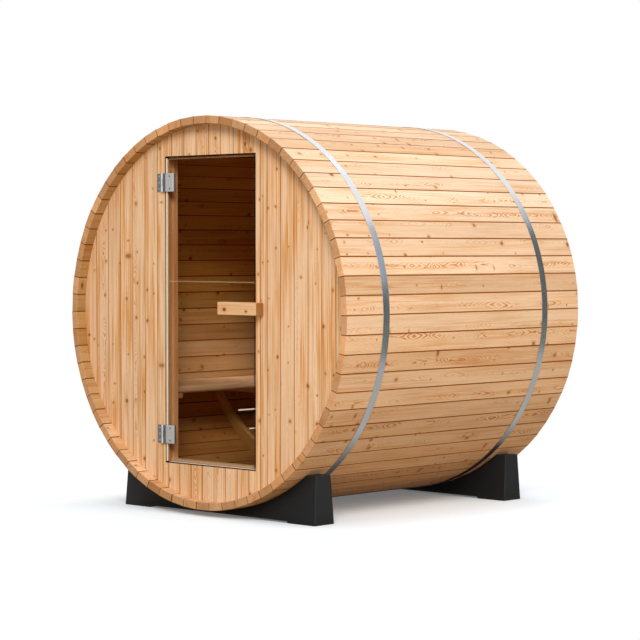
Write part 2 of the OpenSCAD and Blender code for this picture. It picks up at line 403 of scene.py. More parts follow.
class Nodes:
    """A node tree and the one way to add to it."""

    def __init__(self, tree):
        self.tree = tree
        self.tree.nodes.clear()

    def add(self, kind, settings=None, sockets=None, out=0):
        """Add a node: its settings first, then the values or links of its sockets."""
        node = self.tree.nodes.new(kind)
        for name, setting in (settings or {}).items():
            setattr(node, name, setting)
        for key, given in (sockets or {}).items():
            if isinstance(given, Value):
                self.tree.links.new(given.socket, node.inputs[key])
            else:
                node.inputs[key].default_value = given
        return Value(self, node.outputs[out] if len(node.outputs) else None)

    def attribute(self, name):
        return self.add("ShaderNodeAttribute", {"attribute_name": name}, out="Vector")

    def place(self):
        """Object coordinates."""
        return self.add("ShaderNodeTexCoord", out="Object")

    def split(self, vector):
        parts = self.add("ShaderNodeSeparateXYZ", None, {0: vector})
        return parts, parts.output("Y"), parts.output("Z")

    def pack(self, x, y, z):
        return self.add("ShaderNodeCombineXYZ", None, {0: x, 1: y, 2: z})

    def noise(self, vector, scale=1.0, detail=2.0, roughness=0.5):
        return self.add(
            "ShaderNodeTexNoise", {"normalize": True},
            {"Vector": vector, "Scale": scale, "Detail": detail, "Roughness": roughness})

    def fade(self, value, low, high, start=0.0, end=1.0):
        """A soft step from start to end as the value goes from low to high."""
        return self.add(
            "ShaderNodeMapRange", {"interpolation_type": "SMOOTHSTEP"},
            {"Value": value, "From Min": low, "From Max": high, "To Min": start, "To Max": end})

    def mix(self, factor, first, second):
        """A colour between two colours."""
        ends = {0: factor, 6: opaque(first), 7: opaque(second)}
        return self.add("ShaderNodeMix", {"data_type": "RGBA"}, ends, out=2)

    def tint(self, colour, other):
        """One colour multiplied by another."""
        return self.add("ShaderNodeVectorMath", {"operation": "MULTIPLY"}, {0: colour, 1: other})

    def dim(self, colour, amount):
        """A colour multiplied by a value."""
        return self.add("ShaderNodeVectorMath", {"operation": "SCALE"}, {0: colour, "Scale": amount})

    def bump(self, height, distance, strength):
        return self.add(
            "ShaderNodeBump", None, {"Height": height, "Distance": distance, "Strength": strength})

    def principled(self, sockets):
        return self.add("ShaderNodeBsdfPrincipled", None, sockets)

    def blend(self, factor, first, second):
        """A shader between two shaders."""
        return self.add("ShaderNodeMixShader", None, {0: factor, 1: first, 2: second})

    def surface(self, shader, output="ShaderNodeOutputMaterial"):
        self.add(output, None, {"Surface": shader})


def new_finish(name):
    """A new material and its empty node tree."""
    material = bpy.data.materials.new(name)
    material.use_nodes = True
    return material, Nodes(material.node_tree)


# Wood

# Rings of the log: their step, how they sway and rise along a board, and where late wood starts and ends
RING_STEP = 0.0062
SWAY, WANDER, LIFT_RUN, PEAK_ROUND = 0.055, 0.50, 0.11, 0.00002
RING_RISE, RING_DEEP, RING_LIFT, RING_RIPPLE, RING_BEND = 0.46, 0.5, 0.14, 0.0085, 0.9
LATE_START, LATE_END = (0.40, 0.86), (1.0, 0.92)

# Knots: their loose grid and radius in metres, and in radii where they fade and how far grain bends
KNOT_CELL_ACROSS, KNOT_CELL_ALONG, KNOT_STRAY = 0.058, 0.190, 0.75
KNOT_RADIUS, KNOT_GROWTH, KNOT_SQUEEZE = 0.0038, 0.0075, 0.8
KNOT_HEART, KNOT_RIM = (1.15, 0.55), (2.4, 0.9)
BEND_ACROSS, BEND_ALONG = 2.3, 6.0
SPIKE_LUCK, SPIKE_REACH = (0.72, 0.90), 0.62
OWN_KNOT_HEART = 1.7

# Tints that darken a wood's pale colour
LATE_TINT = (0.78, 0.48, 0.17)
FIGURE_TINT = (0.66, 0.38, 0.14)
KNOT_TINT = (0.27, 0.125, 0.050)
WARM_TINT = (0.95, 0.84, 0.70)
DARK_TINT = (0.68, 0.56, 0.42)
END_TINT = (0.83, 0.725, 0.60)
DEEP_JOINT = (0.46, 0.23, 0.03)
FINE_JOINT = (0.50, 0.29, 0.09)

# Painted light and shade: tints of inside faces from the bottom up, with the heights over which the next
# one takes over
BOTTOM_SHADE_TINT, BOTTOM_TOP = (0.63, 0.54, 0.32), (0.40, 0.50)
UNDER_SEAT_LIGHT_TINT, UNDER_SEAT_TOP = (1.08, 0.95, 0.45), (0.57, 0.64)
BACKREST_SHADE_TINT, BACKREST_TOP = (0.65, 0.68, 0.67), (0.85, 1.20)
VAULT_SHADE_TINT = (1.02, 0.93, 0.43)

# Painted shade on the inside faces of the staves' overhang outside the end walls, darker towards the top,
# and how far from the middle it starts
LOW_RIM_SHADE_TINT, LOW_RIM_TOP = (0.96, 0.93, 0.84), (0.25, 0.80)
RIM_SHADE_TINT, RIM_FROM = (0.62, 0.56, 0.36), (0.835, 0.850)


def knot_shape(n, across, along, radius, present, spike=0.0):
    """How far a point is inside a knot, in the rim round it, and in the grain that bends round it.

    A spike knot, sawn along its own length, reaches farther across the board.
    """
    distance = ((across * (1 - spike)) ** 2 + (along * KNOT_SQUEEZE) ** 2) ** 0.5
    heart = n.fade(distance / radius, *KNOT_HEART) * present
    rim = n.fade(distance / radius, *KNOT_RIM) * present
    stretched = (across / (radius * BEND_ACROSS)) ** 2 + (along / (radius * BEND_ALONG)) ** 2
    bend = (0 - stretched).math("EXPONENT") * present
    return heart, rim, bend * radius


def scattered_knots(n, across, along, share):
    """Knots of several sizes, some cells of a loose grid having one."""
    spot = n.pack(across / KNOT_CELL_ACROSS, along / KNOT_CELL_ALONG, 0)
    cell = n.add(
        "ShaderNodeTexVoronoi", {"voronoi_dimensions": "2D"},
        {"Vector": spot, "Scale": 1.0, "Randomness": KNOT_STRAY}, out="Position")
    cell_across, cell_along, _ = n.split(cell)
    luck, size, dark = n.split(cell.output("Color"))
    radius = size ** 2 * KNOT_GROWTH + KNOT_RADIUS
    spike = n.fade(luck / share, *SPIKE_LUCK) * SPIKE_REACH
    offset_across = across - cell_across * KNOT_CELL_ACROSS
    offset_along = along - cell_along * KNOT_CELL_ALONG
    heart, rim, bend = knot_shape(n, offset_across, offset_along, radius, luck < share, spike)
    return heart, rim, bend, dark


def wood(
        name, pale, streaks, joint_tint, figure_gain=1.0, knot_share=0.36, spread=0.30,
        end_tint=END_TINT, own_knots=()):
    """Planed softwood: rings of the log cut by the board's face, streaks, knots and each board's tone.

    Streaks and figure_gain say how strongly each is drawn, knot_share how many cells of the knots' grid
    have one, and spread how far boards differ in tone. Own knots are given as x, z and radius.
    """
    material, n = new_finish(name)
    across, along, deep = n.split(n.attribute("grain"))
    light, warm, figure = n.split(n.attribute("tone"))
    end_grain, joint, inside = n.split(n.attribute("sawn"))
    late = shaded(pale, LATE_TINT)
    drawn = shaded(pale, FIGURE_TINT)
    knot = shaded(pale, KNOT_TINT)

    heart, rim, bend, dark = scattered_knots(n, across, along, knot_share)
    x, y, z = n.split(n.place())
    for knot_x, knot_z, knot_radius in own_knots:
        own_heart, own_rim, own_bend = knot_shape(n, z - knot_z, x - knot_x, knot_radius, 1.0)
        heart = heart.math("MAXIMUM", own_heart * OWN_KNOT_HEART)
        rim = rim.math("MAXIMUM", own_rim)
        bend = bend + own_bend

    def board_noise(over, run, into, detail=2.0):
        """Noise in the board's own measures: its scale across, along and into the board."""
        return n.noise(n.pack(across * over, along * run, deep * into), 1.0, detail)

    # Rings, where the board's face cuts them
    sway = n.noise(n.pack(along, 3.1, 0.7), 1.6, 3.0, 0.6) - 0.5
    wander = n.noise(n.pack(along, 17.3, 5.2), 3.2, 2.0)
    lift = (along + wander * WANDER).math("PINGPONG", LIFT_RUN)
    ripple = board_noise(40, 15, 40, 3.0) - 0.5
    off_centre = across + sway * SWAY
    rise = (off_centre ** 2 + PEAK_ROUND) ** 0.5
    log_radius = rise * RING_RISE + deep * RING_DEEP + lift * RING_LIFT
    log_radius = log_radius + ripple * RING_RIPPLE + bend * RING_BEND
    ring = (log_radius / RING_STEP).math("FRACT")
    late_wood = n.fade(ring, *LATE_START) * n.fade(ring, *LATE_END)

    # Patches in which the rings show, and streaks of several widths
    patch = n.fade(board_noise(9, 4.2, 4, 1.5), 0.42, 0.60)
    centred = n.fade(rise, 0.022, 0.006, 0.10, 1.0)
    broken = n.fade(board_noise(26, 13, 26), 0.36, 0.60, 0.25, 1.0)
    drawn_part = patch * centred * broken * 1.2 + 0.08 + rim * 0.35
    strength = drawn_part * (figure ** 2 * 1.1 + 0.35) * figure_gain
    strength = strength.math("MAXIMUM", end_grain * 0.45)
    fibre = board_noise(420, 24, 420)
    fine = board_noise(140, 2.4, 140)
    streak = board_noise(62, 1.3, 62)
    broad = board_noise(9, 1.9, 7)

    # Colour, from the streaks to the board's tone, its ends, painted light and shade on its inside face,
    # and its joints
    loose = n.fade(board_noise(16, 1.6, 9, 1.0), 0.34, 0.64, 0.40, 1.15)
    vein = (n.fade(fine, 0.42, 0.60) * 0.65 + n.fade(streak, 0.44, 0.62) * 0.37) * loose * streaks
    colour = n.mix(vein, pale, late)
    colour = n.mix((late_wood * strength).math("MINIMUM", 0.95), colour, drawn)
    colour = n.mix(rim * 0.40, colour, late)
    colour = n.mix(heart * (dark * 0.36 + 0.56), colour, knot)
    colour = n.mix(warm * (spread * 2.2), colour, n.tint(colour, WARM_TINT))
    colour = n.mix((1 - light) * (spread * 1.4), colour, n.tint(colour, DARK_TINT))
    colour = n.dim(colour, fibre * 0.22 + broad * 0.26 + 0.79)
    colour = n.mix(end_grain, colour, n.dim(n.tint(colour, end_tint), figure * 0.36 + 0.84))
    # Painted light and shade inside the barrel by height: painted shade darkens the bottom, backrest and
    # top, painted light lifts the part under the seat
    inside_light_and_shade = n.mix(n.fade(z, *BOTTOM_TOP), BOTTOM_SHADE_TINT, UNDER_SEAT_LIGHT_TINT)
    inside_light_and_shade = n.mix(n.fade(z, *UNDER_SEAT_TOP), inside_light_and_shade, BACKREST_SHADE_TINT)
    inside_light_and_shade = n.mix(n.fade(z, *BACKREST_TOP), inside_light_and_shade, VAULT_SHADE_TINT)
    # Painted shade on the overhang's inside faces, darker towards the top
    overhang = n.mix(n.fade(z, *LOW_RIM_TOP), LOW_RIM_SHADE_TINT, RIM_SHADE_TINT)
    inside_light_and_shade = n.mix(n.fade(abs(y), *RIM_FROM), inside_light_and_shade, overhang)
    colour = n.mix(inside, colour, n.tint(colour, inside_light_and_shade))
    colour = n.mix(joint, colour, n.tint(colour, joint_tint))

    height = fibre * 0.5 - late_wood * strength * 0.4 - heart * 0.3
    n.surface(n.principled({
        "Base Color": colour,
        "Roughness": (fibre * 0.16 + 0.46).math("MAXIMUM", joint),
        "Coat Weight": (1 - joint) * 0.09,
        "Coat Roughness": 0.45,
        "Specular IOR Level": 0.2,
        "Normal": n.bump(height, 0.0006, 0.35),
    }))
    return material


def make_woods():
    """The six woods; the sill's is the palest, painted light on it, the handle's the brownest."""
    return {
        "stave": wood("stave wood", (0.912, 0.682, 0.490), 0.56, DEEP_JOINT, 1.1, 0.36, 0.47),
        "wall": wood("wall wood", (0.930, 0.672, 0.458), 1.0, FINE_JOINT, 0.6, 0.50, 0.18),
        "frame": wood("frame wood", (0.945, 0.660, 0.430), 0.60, FINE_JOINT, 0.6, 0.15, 0.20),
        # The sill wood's paleness is painted light: the lit sill behind the glass
        "sill": wood("sill wood painted lit", (0.980, 0.910, 0.820), 0.30, FINE_JOINT, 0.3, 0.10, 0.10),
        "bench": wood("bench wood", (0.970, 0.800, 0.630), 0.45, FINE_JOINT, 0.6, 0.15, 0.20),
        "handle": wood(
            "handle wood", (0.850, 0.555, 0.320), 0.80, FINE_JOINT, 0.9, 0.0, 0.10,
            (0.425, 0.33, 0.20), HANDLE_KNOTS),
    }


# Metal, glass, seal and cradle finishes

def hoop_metal():
    """Rolled steel band with faint lines along its length."""
    material, n = new_finish("hoop steel")
    x, y, z = n.split(n.place())
    turn = (z - AXIS_Z).math("ARCTAN2", x)
    lines = n.noise(n.pack(turn * 3, y * 900, 0), 1.0, 2.0)
    cloud = n.noise(n.pack(turn * 14, y * 30, 3), 1.0, 2.0)
    grey = n.mix(cloud, (0.73, 0.75, 0.78), (0.85, 0.86, 0.88))
    n.surface(n.principled({
        "Base Color": grey,
        "Metallic": 1.0,
        "Roughness": lines * 0.14 + cloud * 0.08 + 0.12,
        "Normal": n.bump(lines, 0.0002, 0.15),
    }))
    return material


def brushed_metal(name, dark, pale, roughness):
    """Stainless steel brushed up and down."""
    material, n = new_finish(name)
    x, y, z = n.split(n.place())
    lines = n.noise(n.pack(x * 1800, y * 1800, z * 40), 1.0, 3.0)
    cloud = n.noise(n.pack(x * 60, y * 60, z * 60), 1.0, 2.0)
    grey = n.mix(lines * 0.6 + cloud * 0.4, dark, pale)
    n.surface(n.principled({
        "Base Color": grey,
        "Metallic": 0.5,
        "Roughness": lines * 0.18 + roughness,
        "Normal": n.bump(lines, 0.0002, 0.2),
    }))
    return material


def cradle_black():
    """Matt black moulding with a fine grain."""
    material, n = new_finish("cradle black")
    place = n.place()
    grain = n.noise(place, 900.0, 2.0)
    cloud = n.noise(place, 9.0, 3.0)
    colour = n.mix(cloud, (0.0085, 0.0092, 0.0102), (0.0130, 0.0140, 0.0155))
    n.surface(n.principled({
        "Base Color": colour,
        "Roughness": cloud * 0.14 + 0.46,
        "Specular IOR Level": 0.36,
        "Normal": n.bump(grain, 0.0004, 0.25),
    }))
    return material


def gasket_black():
    """Dull black rubber."""
    material, n = new_finish("gasket black")
    cloud = n.noise(n.place(), 60.0, 2.0)
    n.surface(n.principled({
        "Base Color": n.mix(cloud, (0.004, 0.004, 0.004), (0.008, 0.008, 0.008)),
        "Roughness": cloud * 0.2 + 0.6,
        "Specular IOR Level": 0.15,
    }))
    return material


# A painted reflection: a pale line across the pane, at this height and half width
GLASS_LINE_Z = 1.1915
GLASS_LINE_HALF = 0.0036
GLASS_TINT = (0.82, 0.72, 0.60, 1)
GLASS_GLOSS = 0.045


def bronze_glass():
    """Bronze glass with a polished face, dark edges and a painted reflection: one fine pale line across
    it.
    """
    material, n = new_finish("bronze glass")
    x, y, z = n.split(n.place())
    facing = n.add("ShaderNodeLayerWeight", None, {"Blend": 0.5}, out="Facing")
    behind = n.add("ShaderNodeNewGeometry", out="Backfacing")
    gloss = (facing ** 5 * (1 - GLASS_GLOSS) + GLASS_GLOSS) * (1 - behind)
    smear = n.noise(n.pack(x * 3, y, z * 2), 1.0, 3.0)
    lets_light_in = n.add("ShaderNodeLightPath", out="Is Shadow Ray")
    tinted = n.add("ShaderNodeBsdfTransparent", None, {"Color": GLASS_TINT})
    open_way = n.add("ShaderNodeBsdfTransparent", None, {"Color": (1, 1, 1, 1)})
    clear = n.blend(lets_light_in, tinted, open_way)
    polish = n.principled({
        "Base Color": (1, 1, 1, 1),
        "Metallic": 1.0,
        "Roughness": smear * 0.03 + 0.01,
    })
    pane = n.blend(gloss, clear, polish)
    # The pale line is a painted reflection, a rough pale shader on the pane's front
    line = n.fade(abs(z - GLASS_LINE_Z), GLASS_LINE_HALF, GLASS_LINE_HALF * 0.5)
    painted_line_reflection = n.principled({
        "Base Color": n.mix(smear, (0.74, 0.52, 0.32), (0.82, 0.60, 0.38)),
        "Roughness": 0.6,
    })
    pane_with_painted_line = n.blend(line * 0.32 * (1 - behind), pane, painted_line_reflection)
    rim, _, _ = n.split(n.attribute("edge"))
    dark = n.principled({
        "Base Color": n.mix(smear, (0.004, 0.003, 0.002), (0.008, 0.006, 0.004)),
        "Roughness": 0.5,
        "Specular IOR Level": 0.1,
    })
    n.surface(n.blend(rim, pane_with_painted_line, dark))
    return material


def pale_seal():
    """Soft pale seal, a little cloudy along its length."""
    material, n = new_finish("pale seal")
    x, y, z = n.split(n.place())
    cloud = n.noise(n.pack(x * 40, y * 40, z * 9), 1.0, 2.0)
    n.surface(n.principled({
        "Base Color": n.mix(cloud, (0.88, 0.74, 0.54), (0.97, 0.87, 0.71)),
        "Roughness": cloud * 0.2 + 0.35,
        "Normal": n.bump(cloud, 0.0003, 0.2),
    }))
    return material


# The barrel's staves

def stave_flats():
    """Distance of a stave's outer and inner face from the barrel's axis."""
    outer = BARREL_RADIUS * math.cos(math.pi / STAVE_COUNT)
    return outer, outer - STAVE_THICK


def plain_stave():
    """One stave at the top of the barrel: tapered, eased, and grooved for both end walls."""
    outer, inner = stave_flats()
    half_width = outer * math.tan(math.pi / STAVE_COUNT) - STAVE_GAP / 2
    stave = block(
        "stave", (-half_width, stave_low.y, AXIS_Z + inner), (half_width, stave_high.y, AXIS_Z + outer))
    taper = inner / outer
    scale_faces(stave, looks(Z_AXIS, -1), (taper, 1, 1), (0, 0, AXIS_Z + inner))
    ease(stave, STAVE_EASE, runs_along(Y_AXIS), segments=1)
    middle = (stave_low.y + stave_high.y) / 2
    reach = (stave_high.y - stave_low.y) / 2

    def at_end(edge):
        return all(abs(vert.co.y - middle) > reach - CLOSE for vert in edge.verts)

    ease(stave, STAVE_END_EASE, at_end, segments=1)
    looks_in = looks(Z_AXIS, -1, MOSTLY)
    for low, high in ((WALL_FRONT, WALL_BACK), (rear_wall_low.y, rear_wall_high.y)):
        low -= WALL_PLAY
        high += WALL_PLAY
        saw(stave, (0, low, 0), (0, 1, 0))
        saw(stave, (0, high, 0), (0, 1, 0))

        def in_groove(face):
            return looks_in(face) and low < face.calc_center_median().y < high

        push_faces(stave, in_groove, (0, 0, WALL_GROOVE))
    return stave


def cut_air_slots(stave):
    """Cut the level air slots where they cross this stave."""
    heights = [vertex.co.z for vertex in stave.data.vertices]
    for drop in AIR_SLOT_DROPS:
        low = AXIS_Z - drop - AIR_SLOT_HIGH / 2
        high = low + AIR_SLOT_HIGH
        if low < max(heights) and high > min(heights):
            cutter = block(
                "slot", (AIR_SLOT_OUTER, AIR_SLOT_FROM, low), (AIR_SLOT_INNER, AIR_SLOT_TO, high))
            carve(stave, cutter, solver="FAST")


def make_staves(finish):
    """The ring of staves, copied from one, in six groups."""
    pattern = plain_stave()
    paint(pattern, finish)
    outer, _ = stave_flats()
    step = math.tau / STAVE_COUNT
    in_group = STAVE_COUNT // len(STAVE_GROUPS)
    centre = Matrix.Translation((0, 0, AXIS_Z))
    for group_index, node in enumerate(STAVE_GROUPS):
        group = []
        for index in range(group_index * in_group, (group_index + 1) * in_group):
            angle = STAVE_TURN + (index + 0.5) * step
            turn = centre @ Matrix.Rotation(math.pi / 2 - angle, 4, "Y") @ centre.inverted()
            slid = draw.uniform(-STAVE_STRAY, STAVE_STRAY)
            lifted = draw.uniform(-STAVE_SINK, STAVE_RISE)
            stave = copy_of(pattern, f"stave {index}", turn @ Matrix.Translation((0, slid, lifted)))
            if node == "staves_lower_left":
                cut_air_slots(stave)
            to_board = Matrix.Translation((0, 0, -AXIS_Z - outer)) @ turn.inverted()
            turned = to_board.to_3x3()
            mark_grain(
                stave, Board(), to_board, lambda face: abs((turned @ face.normal).x) > IN_JOINT,
                lambda face: (turned @ face.normal).z < -MOSTLY)
            group.append(stave)
        ring_part = join_up(node.replace("staves_", "") + "_staves", group)
        hand_in(ring_part, "barrel", node, BOARD_SMOOTH)
    bpy.data.objects.remove(pattern)


# Walls of upright boards

def wall_disc(low_y, high_y):
    """A disc that trims wall boards to the groove in the staves."""
    _, inner = stave_flats()
    radius = inner + WALL_GROOVE - WALL_PLAY
    start = (0, low_y - 2 * CUT_PAST, AXIS_Z)
    end = (0, high_y + 2 * CUT_PAST, AXIS_Z)
    return rod("disc", start, end, radius, FINE_ROUND)


def wall_board(left, right, low, high, faces_y, joints, board, disc, finish, inward):
    """One upright board, eased where it meets another, trimmed to the disc, set in by a hair."""
    set_in = draw.uniform(0, BOARD_SET_IN) * inward
    left += BOARD_GAP / 2 if joints[0] else 0
    right -= BOARD_GAP / 2 if joints[1] else 0
    piece = block("board", (left, faces_y[0] + set_in, low), (right, faces_y[1] + set_in, high))
    tall = runs_along(Z_AXIS)

    def meets_board(edge):
        on_left = abs(edge.verts[0].co.x - left) < CLOSE
        return tall(edge) and joints[0 if on_left else 1]

    if any(joints):
        ease(piece, BOARD_EASE, meets_board, segments=1)
    carve(piece, disc, "INTERSECT", keep_cutter=True)
    paint(piece, finish)

    def in_joint(face):
        beside = joints[0] if face.normal.x < 0 else joints[1]
        return beside and abs(face.normal.x) > IN_JOINT

    mark_grain(piece, board, lying("Z", (board.middle, faces_y[0], AXIS_Z)), in_joint)
    return piece


def new_board(left, right):
    """A board that notes its middle, so that its parts share one grain."""
    return Board((left + right) / 2)


def joints_on(joints, step):
    """These joints, more of them at a steady step, and the barrel's side."""
    joints = list(joints)
    while abs(joints[-1] + step) < BARREL_RADIUS:
        joints.append(joints[-1] + step)
    return [*joints, math.copysign(BARREL_RADIUS, step)]


def make_front_wall(finish):
    """The front wall in four pieces; the boards beside the doorway run on over and under it."""
    faces_y = (WALL_FRONT, WALL_BACK)
    disc = wall_disc(*faces_y)
    low = AXIS_Z - BARREL_RADIUS
    high = AXIS_Z + BARREL_RADIUS
    left_shared = new_board(LEFT_JOINT, OVER_JOINT)
    right_shared = new_board(OVER_JOINT + OVER_STEP * (OVER_COUNT - 1), RIGHT_STRIP)

    def put_up(place, joints, first, last, foot, top):
        """One piece, of the boards between these joints; its first and last may run on beside it."""
        boards = []
        final = len(joints) - 2
        for index in range(len(joints) - 1):
            left, right = joints[index], joints[index + 1]
            board = new_board(left, right)
            if index == 0 and first:
                board = first
            if index == final and last:
                board = last
            eased = (index > 0, index < final)
            boards.append(wall_board(left, right, foot, top, faces_y, eased, board, disc, finish, 1))
        wall = join_up("front_boards_" + place, boards)
        hand_in(wall, "barrel", "front_wall_" + place, BOARD_SMOOTH)

    left_joints = joints_on((DOORWAY_LEFT, LEFT_JOINT), -LEFT_STEP)
    put_up("left", left_joints[::-1], None, left_shared, low, high)
    right_joints = joints_on((DOORWAY_RIGHT, RIGHT_STRIP, RIGHT_JOINT), RIGHT_STEP)
    put_up("right", right_joints, right_shared, None, low, high)
    over_joints = [OVER_JOINT + OVER_STEP * index for index in range(OVER_COUNT)]
    over_joints = [DOORWAY_LEFT, *over_joints, DOORWAY_RIGHT]
    put_up("over_door", over_joints, left_shared, right_shared, DOORWAY_HEAD, high)
    under_joints = [UNDER_JOINT + UNDER_STEP * index for index in range(UNDER_COUNT)]
    under_joints = [DOORWAY_LEFT, *under_joints, DOORWAY_RIGHT]
    put_up("under_door", under_joints, left_shared, right_shared, low, DOORWAY_FOOT)
    bpy.data.objects.remove(disc)


def make_rear_wall(finish):
    """The rear wall, boards from side to side."""
    faces_y = (rear_wall_low.y, rear_wall_high.y)
    disc = wall_disc(*faces_y)
    half_count = math.ceil(BARREL_RADIUS / REAR_STEP)
    boards = []
    for index in range(-half_count, half_count):
        left = index * REAR_STEP
        right = left + REAR_STEP
        if abs(left + right) / 2 > REAR_REACH:
            continue
        boards.append(wall_board(
            left, right, AXIS_Z - BARREL_RADIUS, AXIS_Z + BARREL_RADIUS, faces_y, (True, True),
            new_board(left, right), disc, finish, -1))
    hand_in(join_up("rear_boards", boards), "barrel", "rear_wall", BOARD_SMOOTH)
    bpy.data.objects.remove(disc)


# Door frame

REBATE_WIDE = 0.008
REBATE_DEEP = 0.019
FRAME_EASE = 0.0025
SILL_RISE = 0.016


def make_door_frame(finish, lit_sill_finish):
    """Posts with a shallow rebate behind the wall, head and sill."""
    for node, side in (("door_post_left", 1), ("door_post_right", -1)):
        low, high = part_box(node)
        post = block(node.replace("door_", "frame_"), low, high)
        inner_x = high.x if side > 0 else low.x
        left, right = sorted((inner_x - side * REBATE_WIDE, inner_x + side * CUT_PAST))
        cutter = block(
            "rebate", (left, low.y - CUT_PAST, low.z - CUT_PAST),
            (right, low.y + REBATE_DEEP, high.z + CUT_PAST))
        carve(post, cutter)
        ease_all(post, FRAME_EASE)
        as_board(post, finish, "Z", (low + high) / 2)
        hand_in(post, "barrel", node)
    for node in ("door_head", "door_sill"):
        low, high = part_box(node)
        rail = block(node.replace("door_", "frame_"), low, high)
        if node == "door_sill":
            push_faces(rail, looks(Z_AXIS, 1), (0, 0, SILL_RISE))
        ease_all(rail, FRAME_EASE)
        as_board(rail, lit_sill_finish if node == "door_sill" else finish, "X", (low + high) / 2)
        hand_in(rail, "barrel", node)


# Gasket

GASKET_THICK = 0.003
GASKET_EASE = 0.0006
GASKET_HEAD_LIP, GASKET_SIDE_LIP = 0.0050, 0.0085
GASKET_FRONT, GASKET_LIP_FRONT, GASKET_BACK = -0.8585, -0.8440, -0.8360


def make_gasket(finish):
    """A black strip round the doorway, with a lip behind the glass at the head and on the right."""
    left, right = DOORWAY_LEFT, DOORWAY_RIGHT
    foot, head = DOORWAY_FOOT, DOORWAY_HEAD
    strips = []
    linings = (GASKET_THICK, GASKET_THICK, GASKET_FRONT)
    lips = (GASKET_HEAD_LIP, GASKET_SIDE_LIP, GASKET_LIP_FRONT)
    for down, wide, y in (linings, lips):
        strips.append(block("head strip", (left, y, head - down), (right, GASKET_BACK, head)))
        strips.append(block(
            "right strip", (right - wide, y, foot + GASKET_THICK), (right, GASKET_BACK, head - down)))
    strips.append(block(
        "foot strip", (left, GASKET_FRONT, foot), (right, GASKET_BACK, foot + GASKET_THICK)))
    strips.append(block(
        "left strip", (left, GASKET_FRONT, foot + GASKET_THICK),
        (left + GASKET_THICK, GASKET_BACK, head - GASKET_THICK)))
    for strip in strips:
        ease_all(strip, GASKET_EASE)
        paint(strip, finish)
    gasket = join_up("black_gasket", strips)
    smooth(gasket, PIECE_SMOOTH)
    let_go()
    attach(gasket, "barrel")


# Door

GLASS_POLISH = 0.0012
SEAL_WIDE, SEAL_CLEAR, SEAL_EASE = 0.0105, 0.001, 0.0012
TOP_SEAL_TALL, TOP_SEAL_EASE = 0.0065, 0.0004
HANDLE_EASE = 0.004
HANDLE_KNOTS = ((0.165, 1.0550, 0.0095), (0.318, 1.0480, 0.0062))
SPACER_RADIUS, SPACER_LONG, SPACER_EASE = 0.015, 0.006, 0.0008
SPACER_PLACES = (0.174, 0.260)


def make_glass(finish):
    """The pane, with polished edges."""
    low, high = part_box("door_glass")
    pane = block("pane", low, high)
    ease(pane, GLASS_POLISH, segments=2)
    paint(pane, finish)
    edge = pane.data.attributes.new("edge", "FLOAT_VECTOR", "FACE")
    for face in pane.data.polygons:
        edge.data[face.index].vector = (1.0 if abs(face.normal.y) < HALFWAY else 0.0, 0.0, 0.0)
    hand_in(pane, "door", "door_glass")


def make_seal(finish):
    """Three lengths of seal on the pane's hinge edge, and a strip behind its top edge."""
    low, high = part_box("door_edge_seal")
    glass_low, glass_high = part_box("door_glass")
    upper_low, upper_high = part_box("upper_hinge_clamp")
    lower_low, lower_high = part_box("lower_hinge_clamp")
    spans = (
        (low.z, lower_low.z - SEAL_CLEAR),
        (lower_high.z + SEAL_CLEAR, upper_low.z - SEAL_CLEAR),
        (upper_high.z + SEAL_CLEAR, high.z),
    )
    lengths = []
    for foot, top in spans:
        length = block("seal", (low.x, low.y, foot), (low.x + SEAL_WIDE, high.y, top))
        ease(length, SEAL_EASE, runs_along(Z_AXIS), segments=2)
        slot = block(
            "glass slot", (glass_low.x, glass_low.y, foot - CUT_PAST),
            (high.x + CUT_PAST, glass_high.y, top + CUT_PAST))
        carve(length, slot)
        lengths.append(length)
    strip = block(
        "top strip", (low.x + SEAL_WIDE, glass_high.y, glass_high.z - TOP_SEAL_TALL),
        (glass_high.x, high.y, glass_high.z))
    ease(strip, TOP_SEAL_EASE, runs_along(X_AXIS), segments=2)
    lengths.append(strip)
    for length in lengths:
        paint(length, finish)
    hand_in(join_up("edge_seal", lengths), "door", "door_edge_seal")


def make_handle(finish):
    """A block of wood on two round spacers."""
    low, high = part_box("door_handle")
    glass_low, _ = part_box("door_glass")
    back = glass_low.y - SPACER_LONG
    grip = block("grip", low, (high.x, back, high.z))
    ease(grip, HANDLE_EASE, segments=3)
    middle = Vector(((low.x + high.x) / 2, back, (low.z + high.z) / 2))
    board = Board()
    as_board(grip, finish, "X", middle, board)
    pieces = [grip]
    for place in SPACER_PLACES:
        spacer = rod("spacer", (place, back, middle.z), (place, glass_low.y, middle.z), SPACER_RADIUS)
        ease_all(spacer, SPACER_EASE)
        as_board(spacer, finish, "X", middle, board)
        pieces.append(spacer)
    hand_in(join_up("handle", pieces), "door", "door_handle")


# Hinges

PIN_X, PIN_Y = -0.342, -0.870
PIN_RADIUS, PIN_SIDES = 0.003, 24
BORE_PLAY = 0.0001
KNUCKLE_RADIUS, KNUCKLE_PLAY = 0.006, 0.0015
STEEL_EASE = 0.0006
PLATE_OUTER_X, PLATE_INNER_X = -0.386, -0.348
PLATE_THICK, PLATE_CORNER = 0.0035, 0.003
CORNER_REACH = 0.001
LEAF_WEB_LAP, LEAF_WEB_EASE = 0.002, 0.0005
LEAF_SCREWS, LEAF_SCREW_X, LEAF_SCREW_RADIUS = (-0.032, 0.0, 0.032), -0.369, 0.0046
CLAMP_LEFT_X, CLAMP_RIGHT_X, CLAMP_EASE = -0.318, -0.261, 0.0012
BACK_PLATE_LEFT_X, BACK_PLATE_CORNER, BACK_PLATE_EASE = -0.317, 0.004, 0.0008
CLAMP_WEB_CLEAR, CLAMP_WEB_LAP, CLAMP_WEB_HALF = 0.0076, 0.002, 0.0025
ARM_HALF, ARM_EASE = 0.0030, 0.0008
CLAMP_SCREWS, CLAMP_SCREW_X, CLAMP_SCREW_RADIUS = (-0.032, 0.032), -0.285, 0.0048
